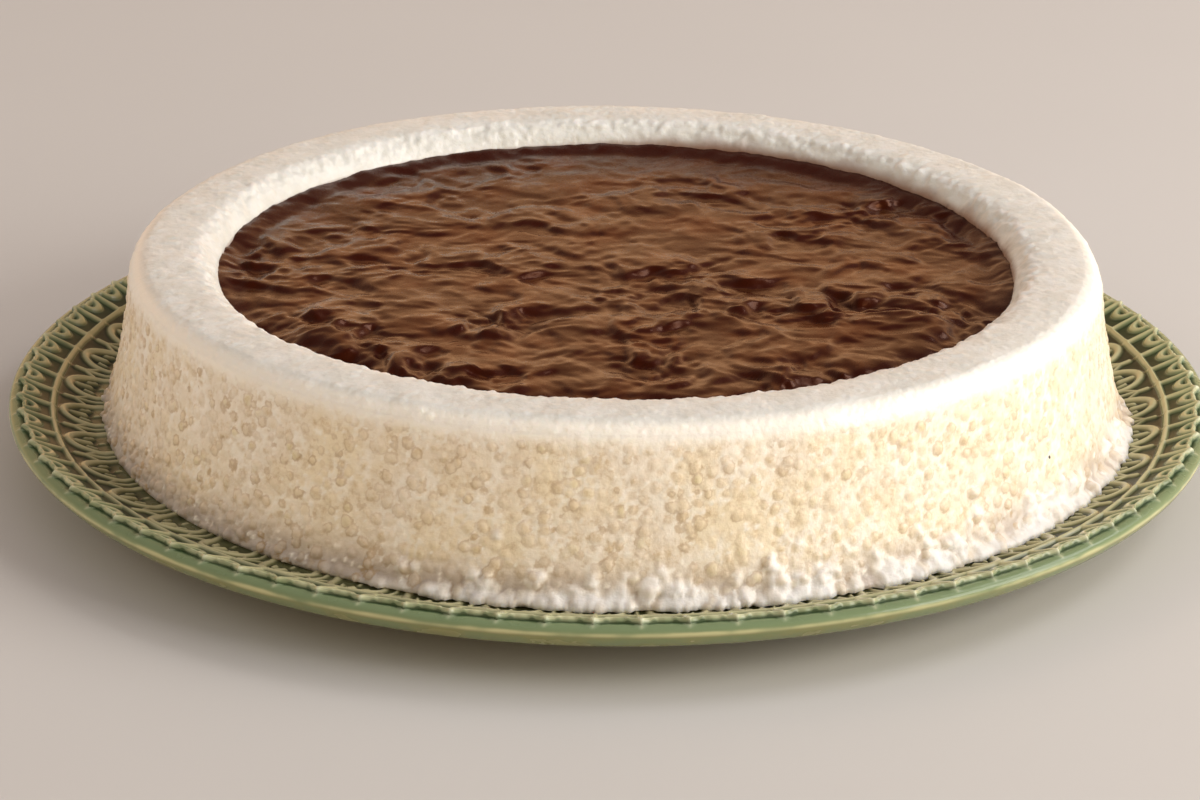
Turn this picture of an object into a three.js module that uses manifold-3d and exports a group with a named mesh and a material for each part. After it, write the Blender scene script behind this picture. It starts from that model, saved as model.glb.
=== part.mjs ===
// A coconut tapioca cake turned out of a recessed ring tin onto a green glazed plate, its well filled with a dark,
// glossy spread. Millimetres, +Z up. The origin is the centre of the plate's foot, on the surface it stands on.
import * as THREE from "three";
import { mergeVertices } from "three/addons/utils/BufferGeometryUtils.js";
import Module from "manifold-3d";

// ---------------------------------------------------------------- driving sizes

const PLATE = {
  rimRadius: 152.5, // the widest circle of the lip
  rimHeight: 15.3, // how high that circle stands above the table
  wellHeight: 10.5, // the flat floor under the cake
  floorThickness: 5.3,
  footOuterRadius: 96,
  footInnerRadius: 88,
  wellRadius: 131, // where the flat floor starts to rise
  beadRadius: 141.6, // the raised line between the two bands of relief
  beadHeight: 0.9,
  edgeRadius: 150.2, // the scalloped edge of the relief, inside the smooth lip
  edgeRise: 7.4, // that edge above the floor
  tongueCount: 88, // short tongues between bead and edge
  tongueRelief: 0.45, // a divider stands this far above the slope, and a tongue's bed lies as far under it
  scallopDepth: 0.8,
  petalCount: 44, // long petals inside the bead, running in under the cake
  petalRelief: 0.5,
  patternTurn: -1.08, // degrees round Z to the first divider, which is a petal's middle too
};

const CAKE = {
  offsetX: 1.1, // it lies a little off the plate's centre
  footRadius: 130, // spread at the foot, where it was the tin's mouth
  shoulderRadius: 122.6, // where the wall ends and the rounded shoulder begins
  height: 42,
  shoulderRound: 6,
  crestInnerRadius: 105.5, // the flat crest runs from the shoulder in to here
  recessRadius: 100.4, // the well at the filling's level
  recessFloorRadius: 98.4,
  recessFloorHeight: 24, // above the cake's own foot
  granuleRelief: 0.42, // how far a lump of granules stands out of the wall
  outlineWander: 0.35, // slow waves of the outline, as it sets a little uneven
};

const FILLING = {
  level: 36.6, // above the cake's foot, so it lies 5.4 mm below the crest
  rippleHeight: 0.62, // from the mean level to a common crest; a rare one is nearly twice as high
  gridStep: 6,
};

const SEGMENTS = { plate: 176, cake: 128, recess: 96 };
const CONTACT_GAP = 0.3;
const CAKE_FOOT = PLATE.wellHeight + CONTACT_GAP;
const GOLDEN_ANGLE = Math.PI * (3 - Math.sqrt(5));

// ---------------------------------------------------------------- helpers

// A repeatable stream of numbers from -1 to 1.
function seededSpread(seed) {
  let state = seed >>> 0;
  return () => {
    state = (state + 0x6d2b79f5) >>> 0;
    let t = Math.imul(state ^ (state >>> 15), 1 | state);
    t = (t + Math.imul(t ^ (t >>> 7), 61 | t)) ^ t;
    return (((t ^ (t >>> 14)) >>> 0) / 4294967296) * 2 - 1;
  };
}

// Points along an arc in the (radius, height) plane, from one angle to another.
function arc(centreRadius, centreHeight, round, fromAngle, toAngle, steps) {
  return Array.from({ length: steps + 1 }, (_, i) => {
    const angle = fromAngle + ((toAngle - fromAngle) * i) / steps;
    return [centreRadius + round * Math.cos(angle), centreHeight + round * Math.sin(angle)];
  });
}

// Turns a (radius, height) profile round the Z axis. reshape may move each point: it gets radius, height, the
// segment's number round the axis and the point's number along the profile, and returns [radius, height].
function revolve(profile, segments, reshape = (radius, height) => [radius, height]) {
  const points = profile.map(([radius, height]) => new THREE.Vector2(radius, height));
  const geometry = new THREE.LatheGeometry(points, segments);
  geometry.rotateX(Math.PI / 2);
  const position = geometry.getAttribute("position");
  for (let i = 0; i < position.count; i++) {
    const along = i % profile.length;
    const around = Math.floor(i / profile.length) % segments;
    const [radius, height] = reshape(...profile[along], around, along);
    const angle = (around / segments) * 2 * Math.PI;
    position.setXYZ(i, radius * Math.cos(angle), radius * Math.sin(angle), height);
  }
  return geometry;
}

const wasm = await Module();
wasm.setup();

// A closed geometry as a solid that can be cut and joined.
function toSolid(geometry) {
  const bare = geometry.index ? geometry.toNonIndexed() : geometry.clone();
  bare.deleteAttribute("normal");
  bare.deleteAttribute("uv");
  const merged = mergeVertices(bare, 1e-4);
  return new wasm.Manifold(
    new wasm.Mesh({
      numProp: 3,
      vertProperties: merged.attributes.position.array,
      triVerts: new Uint32Array(merged.index.array),
    }),
  );
}

function toGeometry(solid) {
  const mesh = solid.getMesh();
  const geometry = new THREE.BufferGeometry();
  geometry.setAttribute("position", new THREE.BufferAttribute(mesh.vertProperties, 3));
  geometry.setIndex(new THREE.BufferAttribute(mesh.triVerts, 1));
  return geometry;
}

// ---------------------------------------------------------------- the plate

// From the floor's edge the plate rises in a slow curve, tangent to the floor, through bead and scalloped edge.
function plateTop(radius) {
  const { wellRadius, wellHeight, edgeRadius, edgeRise } = PLATE;
  const share = Math.max(0, (radius - wellRadius) / (edgeRadius - wellRadius));
  return wellHeight + edgeRise * share ** 1.18;
}

function plateProfile() {
  const p = PLATE;
  const under = p.wellHeight - p.floorThickness;
  const topPoint = (radius, lift = 0) => [radius, plateTop(radius) + lift];
  return [
    [0, under],
    [p.footInnerRadius - 1.5, under],
    [p.footInnerRadius, 0],
    [p.footOuterRadius, 0],
    [p.footOuterRadius + 1.5, under - 0.4],
    [p.footOuterRadius + 26, under + 0.1],
    [p.rimRadius - 12, p.rimHeight - 7.9],
    [p.rimRadius - 4.5, p.rimHeight - 5.2],
    [p.rimRadius - 0.9, p.rimHeight - 2.5],
    [p.rimRadius, p.rimHeight],
    [p.rimRadius - 0.7, p.rimHeight + 1.6],
    topPoint(p.edgeRadius),
    topPoint(p.edgeRadius - 2.6, -0.3),
    topPoint(p.beadRadius + 1.6, -0.3),
    topPoint(p.beadRadius, p.beadHeight),
    topPoint(p.beadRadius - 1.6, -0.2),
    topPoint(p.wellRadius + 4),
    topPoint(p.wellRadius),
    [p.wellRadius - 6, p.wellHeight],
    [0, p.wellHeight],
  ];
}

// Tongues alternate divider and bed from segment to segment; petals take four segments each, hollow in the middle.
function plateRelief(radius, height, around) {
  const p = PLATE;
  const tongue = Math.cos((around / SEGMENTS.plate) * p.tongueCount * 2 * Math.PI);
  const petal = Math.cos((around / SEGMENTS.plate) * p.petalCount * 2 * Math.PI);
  const onTop = height > p.rimHeight - 0.5 || radius < p.rimRadius - 1;
  if (!onTop || height < p.wellHeight + 0.01) return [radius, height];
  if (radius === p.edgeRadius) return [radius - (p.scallopDepth * (1 - tongue)) / 2, height + 0.2 * tongue];
  if (radius > p.beadRadius + 3 && radius < p.edgeRadius) return [radius, height + p.tongueRelief * tongue];
  if (radius > p.wellRadius && radius < p.beadRadius - 3) return [radius, height - p.petalRelief * petal];
  return [radius, height];
}

function makePlate() {
  const glaze = new THREE.MeshStandardMaterial({ color: 0x5f7a4a, roughness: 0.2, metalness: 0 });
  const turned = revolve(plateProfile(), SEGMENTS.plate, plateRelief);
  turned.rotateZ(THREE.MathUtils.degToRad(PLATE.patternTurn));
  const mesh = new THREE.Mesh(turned, glaze);
  mesh.name = "plate";
  return mesh;
}

// ---------------------------------------------------------------- the cake

function cakeProfile() {
  const c = CAKE;
  const shoulderHeight = c.height - c.shoulderRound;
  const wallPoints = 8;
  const wall = Array.from({ length: wallPoints }, (_, i) => {
    const share = i / wallPoints;
    const flare = (c.footRadius - c.shoulderRadius) * (0.55 * (1 - share) + 0.45 * (1 - share) ** 3);
    return [c.shoulderRadius + flare, 1 + share * (shoulderHeight - 1)];
  });
  const shoulderCentre = c.shoulderRadius - c.shoulderRound;
  return [
    [0, 0],
    [c.footRadius - 2, 0],
    ...wall,
    ...arc(shoulderCentre, shoulderHeight, c.shoulderRound, 0, Math.PI / 2, 3),
    [c.crestInnerRadius + 4.5, c.height + 0.1],
    [c.crestInnerRadius, c.height - 0.4],
    [c.crestInnerRadius - 2.6, c.height - 2],
    [c.recessRadius + 0.7, FILLING.level + 1.4],
    [c.recessRadius, FILLING.level],
    [c.recessFloorRadius, c.recessFloorHeight],
    [0, c.recessFloorHeight],
  ];
}

// Slow waves round the outline, from an angle and a height share.
function outlineWander(angle, share) {
  const turns = [2, 3, 5, 8, 13];
  const waves = turns.map((n, i) => Math.cos(n * angle + i * GOLDEN_ANGLE + share * i) / (i + 1.5));
  return CAKE.outlineWander * waves.reduce((sum, wave) => sum + wave, 0);
}

function makeCake() {
  const c = CAKE;
  const profile = cakeProfile();
  const spread = seededSpread(11);
  const lumps = Array.from({ length: profile.length * SEGMENTS.cake }, spread);
  const reshape = (radius, height, around, along) => {
    if (radius < c.footRadius - 30) return [radius, height];
    const angle = (around / SEGMENTS.cake) * 2 * Math.PI;
    const lump = lumps[around * profile.length + along] * c.granuleRelief;
    const wander = outlineWander(angle, height / c.height);
    if (along === 1) return [radius + wander, height];
    const onWall = radius > c.shoulderRadius - 0.5;
    if (onWall) return [radius + wander + lump, height + lump * 0.5];
    const aboveFilling = height > FILLING.level + 1;
    return aboveFilling ? [radius + wander * 0.5, height + lump * 0.35] : [radius, height];
  };
  const tapioca = new THREE.MeshStandardMaterial({ color: 0xe9dcc3, roughness: 0.55, metalness: 0 });
  const mesh = new THREE.Mesh(revolve(profile, SEGMENTS.cake, reshape), tapioca);
  mesh.name = "cake";
  return mesh;
}

// ---------------------------------------------------------------- the filling

// The back of a spoon leaves crossing ripples: each wave turns by the golden angle and is a little shorter.
function ripple(x, y) {
  const waveCount = 7;
  const longest = 46;
  const shrink = 0.84;
  let sum = 0;
  for (let i = 0; i < waveCount; i++) {
    const direction = i * GOLDEN_ANGLE;
    const wavelength = longest * shrink ** i;
    const along = x * Math.cos(direction) + y * Math.sin(direction);
    sum += Math.sin((along / wavelength) * 2 * Math.PI + i * 1.7) / waveCount;
  }
  return sum * 2;
}

function makeFilling() {
  const c = CAKE;
  const bottom = c.recessFloorHeight + CONTACT_GAP;
  const side = 2 * (c.recessRadius + FILLING.gridStep);
  const cells = Math.round(side / FILLING.gridStep);
  const depth = FILLING.level - bottom + 4;
  const slab = new THREE.BoxGeometry(side, side, depth, cells, cells, 1);
  slab.translate(0, 0, FILLING.level - depth / 2);
  const position = slab.getAttribute("position");
  for (let i = 0; i < position.count; i++) {
    if (position.getZ(i) < FILLING.level - 1) continue;
    position.setZ(i, FILLING.level + FILLING.rippleHeight * ripple(position.getX(i), position.getY(i)));
  }
  const plug = revolve(
    [
      [0, bottom],
      [c.recessFloorRadius - CONTACT_GAP, bottom],
      [c.recessRadius - CONTACT_GAP, FILLING.level],
      [c.recessRadius - CONTACT_GAP, FILLING.level + 3],
      [0, FILLING.level + 3],
    ],
    SEGMENTS.recess,
  );
  const spread = new THREE.MeshStandardMaterial({ color: 0x4a2416, roughness: 0.25, metalness: 0 });
  const mesh = new THREE.Mesh(toGeometry(toSolid(slab).intersect(toSolid(plug))), spread);
  mesh.name = "filling";
  return mesh;
}

// ---------------------------------------------------------------- the whole

const cakeGroup = new THREE.Group();
cakeGroup.position.set(CAKE.offsetX, 0, CAKE_FOOT);
cakeGroup.add(makeCake(), makeFilling());

const cakeOnPlate = new THREE.Group();
cakeOnPlate.add(makePlate(), cakeGroup);

export default cakeOnPlate;
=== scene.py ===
"""Coconut tapioca cake on a green glazed plate, with a dark glossy spread in its well.

Shapes are worked out in millimetres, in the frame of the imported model: +Z up, the plate's foot on z = 0 and
its centre on the Z axis. Blender's own unit is the metre, so SurfaceMesh turns millimetres into metres when
it links a mesh. Fields are named arrays with one number for each point.
"""

import logging
import math
from dataclasses import dataclass
from enum import Enum

import bpy
import numpy as np
from mathutils import Matrix, Vector


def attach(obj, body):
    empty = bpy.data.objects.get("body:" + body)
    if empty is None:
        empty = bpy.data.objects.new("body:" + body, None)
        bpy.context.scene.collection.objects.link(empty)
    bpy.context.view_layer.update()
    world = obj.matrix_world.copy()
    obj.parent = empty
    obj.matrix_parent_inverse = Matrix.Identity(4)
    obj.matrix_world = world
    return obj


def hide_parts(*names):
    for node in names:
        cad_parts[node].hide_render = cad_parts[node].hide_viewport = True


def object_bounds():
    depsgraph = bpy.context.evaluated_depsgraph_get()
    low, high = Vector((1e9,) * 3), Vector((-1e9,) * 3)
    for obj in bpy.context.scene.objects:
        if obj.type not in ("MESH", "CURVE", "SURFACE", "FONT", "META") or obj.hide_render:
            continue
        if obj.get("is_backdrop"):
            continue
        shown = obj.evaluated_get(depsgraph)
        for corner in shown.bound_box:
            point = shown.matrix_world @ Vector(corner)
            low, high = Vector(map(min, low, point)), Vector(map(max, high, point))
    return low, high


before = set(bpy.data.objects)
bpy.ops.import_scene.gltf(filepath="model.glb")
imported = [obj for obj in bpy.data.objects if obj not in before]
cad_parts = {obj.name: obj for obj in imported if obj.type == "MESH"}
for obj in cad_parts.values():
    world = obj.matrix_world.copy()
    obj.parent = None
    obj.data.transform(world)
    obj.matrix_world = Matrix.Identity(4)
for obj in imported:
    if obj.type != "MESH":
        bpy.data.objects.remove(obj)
CAD_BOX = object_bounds()

LOG = logging.getLogger("tapioca_cake")
MILLIMETRE = 0.001
FULL_TURN = 2 * math.pi
BODY = "root"

Fields = dict[str, np.ndarray]
Colour = tuple[float, float, float]
Place = tuple[float, float, float]
Socket = bpy.types.NodeSocket


class Node(Enum):
    """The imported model's nodes."""

    PLATE = "plate"
    CAKE = "cake"
    FILLING = "filling"


class Slot(Enum):
    """The record's material slots."""

    GLAZE = "plate_glaze"
    TAPIOCA = "tapioca"
    SPREAD = "dark_spread"


class Seed(Enum):
    """The lattices of random numbers, one for each kind of unevenness."""

    LIP_GLAZE = 5
    RELIEF_GLAZE = 6
    RELIEF_WOBBLE = 8
    GRANULES = 21
    CRUMBS = 22
    BOSSES = 23
    WAVES = 55
    RIPPLES = 77
    NUBS = 78
    SPREAD_EDGE = 79


class Motif(Enum):
    """What a line of the plate's relief is drawn around: where the first one's middle lies, and how often
    it comes, both counted in tongues."""

    DIVIDER = (0.0, 1)
    TONGUE = (0.5, 1)
    PETAL = (0.0, 2)
    DART = (1.0, 2)


# ------------------------------------------------------------ smooth fields


def ease(low: float, high: float, value: np.ndarray) -> np.ndarray:
    """Rises smoothly from 0 at low to 1 at high: 3t^2 - 2t^3, where t is the share of the way.

    Args:
        low: where the rise starts; it may be above high, and then the field falls.
        high: where the rise ends.
        value: the values to ease.

    Returns:
        An array of the same shape, from 0 to 1.
    """
    share = np.clip((value - low) / (high - low), 0.0, 1.0)
    return share * share * (3 - 2 * share)


class Lattice:
    """Random numbers tied to the whole-number cells of space, and the smooth fields drawn from them."""

    def __init__(self, seed: Seed) -> None:
        """Keeps the seed, so that every field of one lattice repeats exactly."""
        self.seed = seed.value

    def draw(self, cells: np.ndarray, channel: int) -> np.ndarray:
        """Mixes the cell coordinates, the seed and a channel into one number for each cell.

        Args:
            cells: whole-number coordinates, shape (..., 3).
            channel: which of a cell's independent numbers is wanted.

        Returns:
            Numbers from 0 to 1, shape (...).
        """
        x, y, z = (cells[..., axis].astype(np.int64).astype(np.uint32) for axis in range(3))
        mixed = x * np.uint32(0x8DA6B343) ^ y * np.uint32(0xD8163841) ^ z * np.uint32(0xCB1AB31F)
        mixed ^= np.uint32((self.seed * 0x9E3779B1 + channel * 0x85EBCA77) & 0xFFFFFFFF)
        for shift, factor in ((16, 0x7FEB352D), (15, 0x846CA68B)):
            mixed ^= mixed >> np.uint32(shift)
            mixed *= np.uint32(factor)
        mixed ^= mixed >> np.uint32(16)
        return mixed.astype(np.float64) / 2**32

    def swell(self, points: np.ndarray, wavelength: float, channel: int = 0) -> np.ndarray:
        """Gradient noise: each corner of a cell has a random slope, and the slopes' heights are blended.

        Args:
            points: places in millimetres, shape (..., 3).
            wavelength: the cell's side, about the distance from one crest to the next.
            channel: which of the lattice's independent fields is wanted.

        Returns:
            Heights of about -1 to 1, shape (...).
        """
        scaled = points / wavelength
        corner = np.floor(scaled)
        within = scaled - corner
        weight = within**3 * (within * (within * 6 - 15) + 10)
        total = np.zeros(points.shape[:-1])
        for offset in np.ndindex(2, 2, 2):
            cell = corner + offset
            slope = [2 * self.draw(cell, 3 * channel + axis + 1) - 1 for axis in range(3)]
            away = within - offset
            height = sum(slope[axis] * away[..., axis] for axis in range(3))
            share = [weight[..., axis] if offset[axis] else 1 - weight[..., axis] for axis in range(3)]
            total += height * share[0] * share[1] * share[2]
        return total * 1.6

    def drift(self, points: np.ndarray, wavelength: float) -> np.ndarray:
        """Three of the lattice's fields taken as one sideways push, of the points' shape."""
        return np.stack([self.swell(points, wavelength, channel) for channel in (1, 2, 3)], axis=-1)

    def grains(self, points: np.ndarray, pitch: float) -> tuple[np.ndarray, np.ndarray, np.ndarray]:
        """Packed grains: each cell holds one seed, and a point belongs to the seed that is nearest.

        Args:
            points: places in millimetres, shape (n, 3).
            pitch: the cell's side, about the distance between neighbouring seeds.

        Returns:
            The distance to the nearest seed, that to the second nearest, both in millimetres, and the
            nearest seed's own cell, shape (n, 3).
        """
        scaled = points / pitch
        home = np.floor(scaled)
        nearest = np.full(len(points), 9.0)
        second = np.full(len(points), 9.0)
        owner = np.zeros_like(points)
        for offset in np.ndindex(3, 3, 3):
            cell = home + np.array(offset) - 1
            seed = cell + np.stack([self.draw(cell, 91 + axis) for axis in range(3)], axis=-1)
            distance = np.linalg.norm(scaled - seed, axis=-1)
            closer = distance < nearest
            second = np.where(closer, nearest, np.minimum(second, distance))
            nearest = np.where(closer, distance, nearest)
            owner[closer] = cell[closer]
        return nearest * pitch, second * pitch, owner


# ------------------------------------------------------------ meshes


def smooth_profile(corners: list[tuple[float, float]], step: float) -> np.ndarray:
    """A curve through the corners: between two of them, a cubic whose slopes follow the neighbouring ones.

    Args:
        corners: (radius, height) pairs in millimetres.
        step: the longest distance between two points of the result.

    Returns:
        Points along the curve, shape (n, 2).
    """
    given = np.array(corners, float)
    padded = np.vstack([2 * given[0] - given[1], given, 2 * given[-1] - given[-2]])
    pieces = []
    for before, start, end, after in zip(padded, padded[1:], padded[2:], padded[3:]):
        count = max(1, math.ceil(float(np.linalg.norm(end - start)) / step))
        t = (np.arange(count) / count)[:, None]
        pieces.append(
            start
            + 0.5 * t * (end - before)
            + t**2 * (before - 2.5 * start + 2 * end - 0.5 * after)
            + t**3 * (1.5 * (start - end) + 0.5 * (after - before))
        )
    return np.vstack([*pieces, given[-1:]])


def turned(radius: np.ndarray, height: np.ndarray, angle: np.ndarray) -> np.ndarray:
    """Points (radius cos angle, radius sin angle, height), from arrays of one shape."""
    return np.stack([radius * np.cos(angle), radius * np.sin(angle), height], axis=-1)


def distance_to_line(side: np.ndarray, radius: np.ndarray, line: np.ndarray) -> np.ndarray:
    """How far each place lies from a line of straight pieces.

    Args:
        side: the places' distances to the side of a motif's middle line, in millimetres.
        radius: their distances from the Z axis, of the same shape.
        line: the line's corners, as (side, radius) pairs, shape (n, 2).

    Returns:
        Distances in millimetres, of the places' shape.
    """
    place = np.stack([side, radius], axis=-1)[..., None, :]
    along = line[1:] - line[:-1]
    share = np.sum((place - line[:-1]) * along, axis=-1) / np.sum(along**2, axis=-1)
    foot = line[:-1] + np.clip(share, 0, 1)[..., None] * along
    return np.linalg.norm(place - foot, axis=-1).min(axis=-1)


@dataclass
class SurfaceMesh:
    """Points, faces and named values that become one mesh object."""

    name: str
    points: np.ndarray
    faces: list[np.ndarray]
    values: Fields

    @classmethod
    def from_loop(cls, name: str, rings: np.ndarray, values: Fields) -> "SurfaceMesh":
        """Closes a stack of rings into a band round the axis: the last ring joins the first.

        Args:
            name: the object's name.
            rings: shape (rings, columns, 3), outwards along the underside, up, and in again along the top.
            values: per-point numbers, each of shape (rings, columns).

        Returns:
            The closed mesh.
        """
        count, columns, _ = rings.shape
        index = np.arange(count * columns).reshape(count, columns)
        above = np.roll(index, -1, axis=0)
        quads = np.stack([index, np.roll(index, -1, axis=1), np.roll(above, -1, axis=1), above], axis=-1)
        flat = {key: value.ravel() for key, value in values.items()}
        return cls(name, rings.reshape(-1, 3), [quads.reshape(-1, 4)], flat)

    @classmethod
    def from_rings(cls, name: str, rings: np.ndarray, values: Fields) -> "SurfaceMesh":
        """Closes a stack of rings into one skin, with a point amid the first and amid the last ring.

        Args:
            name: the object's name.
            rings: shape (rings, columns, 3), from the bottom's middle outwards, up, and in again.
            values: per-point numbers, each of shape (rings, columns).

        Returns:
            The closed mesh.
        """
        count, columns, _ = rings.shape
        index = np.arange(count * columns).reshape(count, columns)
        ahead = np.roll(index, -1, axis=1)
        quads = np.stack([index[:-1], ahead[:-1], ahead[1:], index[1:]], axis=-1).reshape(-1, 4)
        first, last = count * columns, count * columns + 1
        below = np.stack([np.full(columns, first), ahead[0], index[0]], axis=-1)
        above = np.stack([np.full(columns, last), index[-1], ahead[-1]], axis=-1)
        points = np.vstack([rings.reshape(-1, 3), rings[0].mean(axis=0), rings[-1].mean(axis=0)])
        flat = {
            key: np.concatenate([value.ravel(), [value[0].mean(), value[-1].mean()]])
            for key, value in values.items()
        }
        return cls(name, points, [quads, below, above], flat)

    def link(self, material: bpy.types.Material) -> bpy.types.Object:
        """Makes the object, in metres, with smooth faces and one material, and links it to the scene."""
        mesh = bpy.data.meshes.new(self.name)
        mesh.vertices.add(len(self.points))
        mesh.vertices.foreach_set("co", (self.points * MILLIMETRE).astype(np.float32).ravel())
        corners = np.concatenate([part.ravel() for part in self.faces])
        sizes = np.concatenate([np.full(len(part), part.shape[1]) for part in self.faces])
        mesh.loops.add(len(corners))
        mesh.loops.foreach_set("vertex_index", corners.astype(np.int32))
        mesh.polygons.add(len(sizes))
        mesh.polygons.foreach_set("loop_start", (np.cumsum(sizes) - sizes).astype(np.int32))
        mesh.polygons.foreach_set("use_smooth", np.ones(len(sizes), bool))
        mesh.update(calc_edges=True)
        for key, value in self.values.items():
            layer = mesh.attributes.new(key, "FLOAT", "POINT")
            layer.data.foreach_set("value", value.astype(np.float32))
        mesh.materials.append(material)
        piece = bpy.data.objects.new(self.name, mesh)
        bpy.context.scene.collection.objects.link(piece)
        return piece


def install(piece: bpy.types.Object, node: Node) -> None:
    """Puts a finished piece on the body, in place of its node, and reports it."""
    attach(piece, BODY)
    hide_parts(node.value)
    triangles = sum(len(face.vertices) - 2 for face in piece.data.polygons)
    LOG.info("%s: %d triangles, in place of %s", piece.name, triangles, node.value)


# ------------------------------------------------------------ finishes


class ShaderGraph:
    """A material's nodes, added from the pattern to the shader."""

    def __init__(self, name: str) -> None:
        """Starts a material with one principled shader, wired to the output."""
        self.material = bpy.data.materials.new(name)
        self.material.use_nodes = True
        self.tree = self.material.node_tree
        self.tree.nodes.clear()
        self.shader = self.tree.nodes.new("ShaderNodeBsdfPrincipled")
        output = self.tree.nodes.new("ShaderNodeOutputMaterial")
        self.tree.links.new(self.shader.outputs["BSDF"], output.inputs["Surface"])
        self.place = self.tree.nodes.new("ShaderNodeTexCoord").outputs["Object"]

    def fix(self, **numbers: float | tuple) -> None:
        """Sets the shader's own sockets: coat_weight=0.5 sets Coat Weight."""
        for key, value in numbers.items():
            name = key.replace("_", " ").title().replace("Ior", "IOR")
            self.shader.inputs[name].default_value = value

    def drive(self, socket: str, source: Socket) -> None:
        """Wires a pattern to one of the shader's sockets."""
        self.tree.links.new(source, self.shader.inputs[socket])

    def value(self, name: str) -> Socket:
        """A named per-point number of the mesh."""
        node = self.tree.nodes.new("ShaderNodeAttribute")
        node.attribute_name = name
        return node.outputs["Fac"]

    def noise(self, size: float, detail: float = 2.0, roughness: float = 0.5) -> Socket:
        """Cloudy noise whose largest blots are size millimetres across."""
        node = self.tree.nodes.new("ShaderNodeTexNoise")
        node.inputs["Scale"].default_value = 1 / (size * MILLIMETRE)
        node.inputs["Detail"].default_value = detail
        node.inputs["Roughness"].default_value = roughness
        self.tree.links.new(self.place, node.inputs["Vector"])
        return node.outputs["Fac"]

    def spots(self, size: float) -> Socket:
        """The distance to the nearest of many scattered seeds, about size millimetres apart."""
        node = self.tree.nodes.new("ShaderNodeTexVoronoi")
        node.inputs["Scale"].default_value = 1 / (size * MILLIMETRE)
        self.tree.links.new(self.place, node.inputs["Vector"])
        return node.outputs["Distance"]

    def reach(self, source: Socket, low: float, high: float, start: float = 0.0, end: float = 1.0) -> Socket:
        """Maps low to high smoothly onto start to end, and holds both ends."""
        node = self.tree.nodes.new("ShaderNodeMapRange")
        node.interpolation_type = "SMOOTHSTEP"
        for name, number in zip(("From Min", "From Max", "To Min", "To Max"), (low, high, start, end)):
            node.inputs[name].default_value = number
        self.tree.links.new(source, node.inputs["Value"])
        return node.outputs["Result"]

    def combine(self, operation: str, first: Socket, second: Socket | float) -> Socket:
        """Adds, multiplies or otherwise joins two numbers."""
        node = self.tree.nodes.new("ShaderNodeMath")
        node.operation = operation
        self.tree.links.new(first, node.inputs[0])
        if isinstance(second, float):
            node.inputs[1].default_value = second
        else:
            self.tree.links.new(second, node.inputs[1])
        return node.outputs["Value"]

    def blend(self, share: Socket, first: Socket | Colour, second: Socket | Colour) -> Socket:
        """Goes from the first colour to the second as the share goes from 0 to 1."""
        node = self.tree.nodes.new("ShaderNodeMix")
        node.data_type = "RGBA"
        self.tree.links.new(share, node.inputs["Factor"])
        for name, colour in (("A", first), ("B", second)):
            socket = next(s for s in node.inputs if s.name == name and s.type == "RGBA")
            if isinstance(colour, tuple):
                socket.default_value = (*colour, 1.0)
            else:
                self.tree.links.new(colour, socket)
        return next(s for s in node.outputs if s.type == "RGBA")

    def bump(self, height: Socket, depth: float) -> Socket:
        """Tilts the surface as if the pattern were depth millimetres deep."""
        node = self.tree.nodes.new("ShaderNodeBump")
        node.inputs["Distance"].default_value = depth * MILLIMETRE
        self.tree.links.new(height, node.inputs["Height"])
        return node.outputs["Normal"]


@dataclass(frozen=True)
class GreenGlaze:
    """A clear green glaze that pools dark in the hollows and breaks pale over the ridges. The edge's tips are
    pale, partly bare clay and partly a painted highlight.
    """

    pooled: Colour = (0.032, 0.036, 0.013)
    resting: Colour = (0.115, 0.122, 0.048)
    broken: Colour = (0.50, 0.47, 0.27)
    lip_pooled: Colour = (0.035, 0.070, 0.022)
    lip: Colour = (0.19, 0.255, 0.13)
    lip_broken: Colour = (0.50, 0.50, 0.27)
    # partly bare clay where the glaze breaks, partly a painted highlight on the edge's tips
    bare: Colour = (0.74, 0.78, 0.60)
    underside: Colour = (0.27, 0.27, 0.115)
    gloss: float = 0.18
    pooled_gloss: float = 0.42

    def material(self) -> bpy.types.Material:
        """Mixes the glaze's colours by how thin it lies, with faint clouds. It is duller where it pools."""
        graph = ShaderGraph("green_glaze")
        cloud = graph.noise(9.0, 3.0)
        thin = graph.combine("ADD", graph.value("thin"), graph.reach(cloud, 0.3, 0.7, -0.07, 0.07))
        low = graph.blend(graph.reach(thin, 0.0, 0.4), self.pooled, self.resting)
        band = graph.blend(graph.reach(thin, 0.2, 0.9), low, self.broken)
        lip_low = graph.blend(graph.reach(thin, 0.0, 0.35), self.lip_pooled, self.lip)
        lip = graph.blend(graph.reach(thin, 0.4, 1.0), lip_low, self.lip_broken)
        below_low = graph.blend(graph.reach(cloud, 0.3, 0.7), self.underside, self.lip)
        below = graph.blend(graph.reach(thin, 0.3, 0.8), below_low, self.underside)
        colour = graph.blend(graph.value("lip"), band, lip)
        # the tips' pale colour: partly bare clay, partly a painted highlight
        colour = graph.blend(graph.value("tip"), colour, self.bare)
        graph.drive("Base Color", graph.blend(graph.value("underside"), colour, below))
        graph.drive("Roughness", graph.reach(thin, 0.05, 0.5, self.pooled_gloss, self.gloss))
        graph.drive("Normal", graph.bump(graph.noise(2.2, 2.0), 0.05))
        graph.fix(specular_ior_level=0.25, coat_weight=0.08, coat_roughness=0.06)
        return graph.material


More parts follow.
